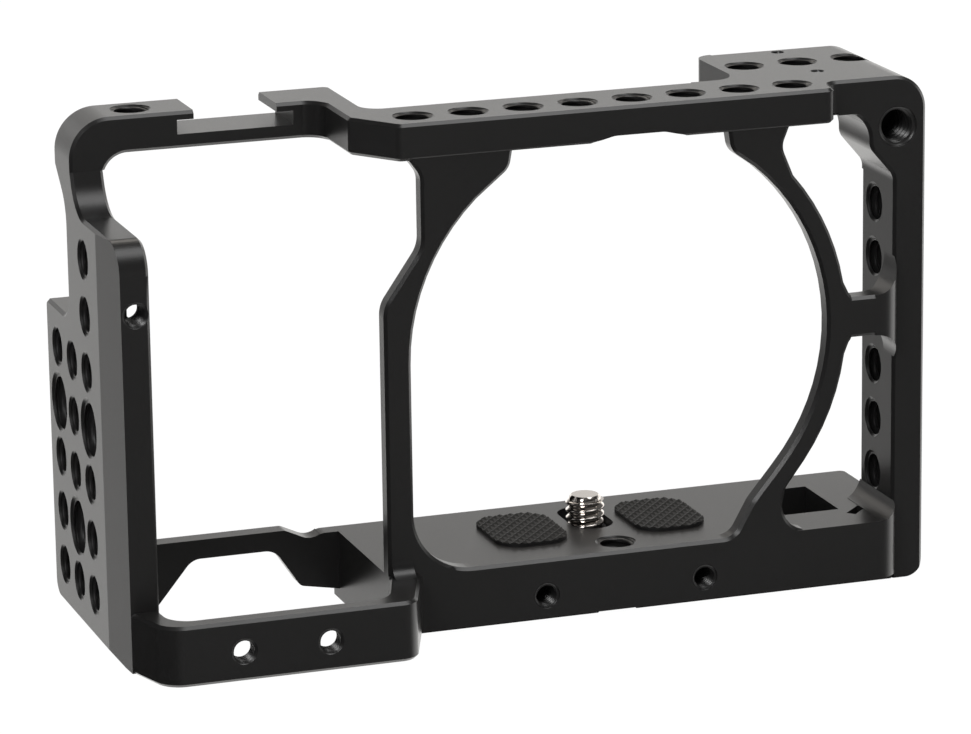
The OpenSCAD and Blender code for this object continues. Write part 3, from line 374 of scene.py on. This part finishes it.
# A flat washer rides along the slot under the web, and a snap ring sits in the groove of
# the neck, so that the screw can neither fall out nor lift out.
satin_steel = turned_metal("satin_steel", (0.56, 0.55, 0.53), 0.3, (0.25, 0.00002))
dark_spring_steel = turned_metal("dark_spring_steel", (0.12, 0.12, 0.125), 0.35, (0.2, 0.00002))
for node, finish, body, slot in (
        ("screw_washer", satin_steel, "washer_body", "washer_steel"),
        ("retaining_clip", dark_spring_steel, "clip_body", "clip_steel")):
    ring = finished("turned_" + node, solid_of(node), finish, body)
    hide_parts(node)

# The cage stands on a sweep of plain white paper. It shows white to the camera and keeps
# only a trace of the cage's shadow.
def reckoned(tree, operation, first, second):
    step = tree.nodes.new("ShaderNodeMath")
    step.operation = operation
    for socket, source in zip(step.inputs, (first, second)):
        if isinstance(source, float):
            socket.default_value = source
        else:
            tree.links.new(source, socket)
    return step.outputs["Value"]

paper_white, paper_share = 1.03, 0.97
sweep_white = bpy.data.materials.new("sweep_white")
sweep_white.use_nodes = True
sweep_tree = sweep_white.node_tree
lit_paper = sweep_tree.nodes["Principled BSDF"]
lit_paper.inputs["Base Color"].default_value = (0.9, 0.9, 0.9, 1)
lit_paper.inputs["Roughness"].default_value = 0.9
plain_white = sweep_tree.nodes.new("ShaderNodeEmission")
plain_white.inputs["Color"].default_value = (1, 1, 1, 1)
plain_white.inputs["Strength"].default_value = paper_white
# Reflections look past the paper at the room, whose cards shape the black metal
no_paper = sweep_tree.nodes.new("ShaderNodeBsdfTransparent")
paper_ray = sweep_tree.nodes.new("ShaderNodeLightPath").outputs
straight = reckoned(sweep_tree, "MAXIMUM", paper_ray["Is Camera Ray"],
                    paper_ray["Is Transmission Ray"])
share = reckoned(sweep_tree, "MULTIPLY", straight, paper_share)
paper = sweep_tree.nodes.new("ShaderNodeMixShader")
sweep_tree.links.new(share, paper.inputs["Fac"])
sweep_tree.links.new(lit_paper.outputs["BSDF"], paper.inputs[1])
sweep_tree.links.new(plain_white.outputs["Emission"], paper.inputs[2])
seen = sweep_tree.nodes.new("ShaderNodeMixShader")
sweep_tree.links.new(paper_ray["Is Glossy Ray"], seen.inputs["Fac"])
sweep_tree.links.new(paper.outputs["Shader"], seen.inputs[1])
sweep_tree.links.new(no_paper.outputs["BSDF"], seen.inputs[2])
sweep_tree.links.new(seen.outputs["Shader"], sweep_tree.nodes["Material Output"].inputs["Surface"])

half_sweep, below_the_cage = 3, 0.0002
sweep_shape = bmesh.new()
bmesh.ops.create_grid(sweep_shape, x_segments=1, y_segments=1, size=half_sweep)
bmesh.ops.translate(sweep_shape, verts=sweep_shape.verts, vec=(0, 0, -below_the_cage))
sweep_mesh = bpy.data.meshes.new("white_sweep")
sweep_shape.to_mesh(sweep_mesh)
sweep_shape.free()
sweep_mesh.materials.append(sweep_white)
sweep = bpy.data.objects.new("white_sweep", sweep_mesh)
bpy.context.scene.collection.objects.link(sweep)

# Four soft lamps light the cage: a wide warm one above and behind it, one over it, a small
# one in front on the grip side, and a faint one beside the grip.
def soft_box(name, place, aim, size, power, tint=(1, 1, 1)):
    lamp = bpy.data.lights.new(name, "AREA")
    lamp.shape = "RECTANGLE"
    lamp.size, lamp.size_y = size
    lamp.energy = power
    lamp.color = tint
    turn = (Vector(aim) - Vector(place)).to_track_quat("-Z", "Y").to_matrix().to_4x4()
    box = bpy.data.objects.new(name, lamp)
    box.matrix_world = Matrix.Translation(place) @ turn
    bpy.context.scene.collection.objects.link(box)

cage_middle = (0, 0, 0.04)
soft_box("back_light", (0.35, 1.0, 0.95), (0, 0, 0.06), (1.6, 0.4), 4, (1, 0.95, 0.88))
soft_box("top_light", (0.35, -0.25, 1.05), cage_middle, (0.7, 0.7), 4)
soft_box("front_light", (-0.62, -0.73, 0.68), cage_middle, (0.4, 0.4), 4)
soft_box("side_light", (-0.95, 0.1, 0.35), cage_middle, (0.5, 0.6), 0.6)

# The room is plain and even for the light that falls on the cage. Its reflections see a
# dark card in front of the cage and a pale room low behind it, which fades out above and
# on the grip side, so that the front faces stay deep and slanting flats turn grey.
def faded(tree, source, start, end, near, far):
    fade = tree.nodes.new("ShaderNodeMapRange")
    fade.interpolation_type = "SMOOTHSTEP"
    fade.inputs["From Min"].default_value, fade.inputs["From Max"].default_value = start, end
    fade.inputs["To Min"].default_value, fade.inputs["To Max"].default_value = near, far
    tree.links.new(source, fade.inputs["Value"])
    return fade.outputs["Result"]

room_light, card_middle = 0.5, (0.31, -0.916, -0.256)
room = bpy.data.worlds.new("studio")
room.use_nodes = True
bpy.context.scene.world = room
room_tree = room.node_tree
backdrop = room_tree.nodes["Background"]
backdrop.inputs["Color"].default_value = (1, 0.99, 0.97, 1)
ray = room_tree.nodes.new("ShaderNodeLightPath").outputs
aim = room_tree.nodes.new("ShaderNodeTexCoord").outputs["Generated"]
toward_card = room_tree.nodes.new("ShaderNodeVectorMath")
toward_card.operation = "DOT_PRODUCT"
toward_card.inputs[1].default_value = card_middle
room_tree.links.new(aim, toward_card.inputs[0])
aim_parts = room_tree.nodes.new("ShaderNodeSeparateXYZ")
room_tree.links.new(aim, aim_parts.inputs["Vector"])
card = faded(room_tree, toward_card.outputs["Value"], start=0.3, end=0.78, near=1.0, far=0.1)
height = faded(room_tree, aim_parts.outputs["Z"], start=0.17, end=0.38, near=1.25, far=0.1)
grip_side = faded(room_tree, aim_parts.outputs["X"], start=-0.14, end=-0.48, near=1.13, far=0.0)
mirrored = reckoned(room_tree, "MULTIPLY", card, reckoned(room_tree, "MULTIPLY", height, grip_side))
level = room_tree.nodes.new("ShaderNodeMix")
level.data_type = "FLOAT"
level.inputs["A"].default_value = room_light
room_tree.links.new(ray["Is Glossy Ray"], level.inputs["Factor"])
room_tree.links.new(mirrored, level.inputs["B"])
straight = reckoned(room_tree, "MAXIMUM", ray["Is Camera Ray"], ray["Is Transmission Ray"])
room_tree.links.new(reckoned(room_tree, "MAXIMUM", straight, level.outputs["Result"]),
                    backdrop.inputs["Strength"])
bpy.context.scene.view_settings.view_transform = "Standard"
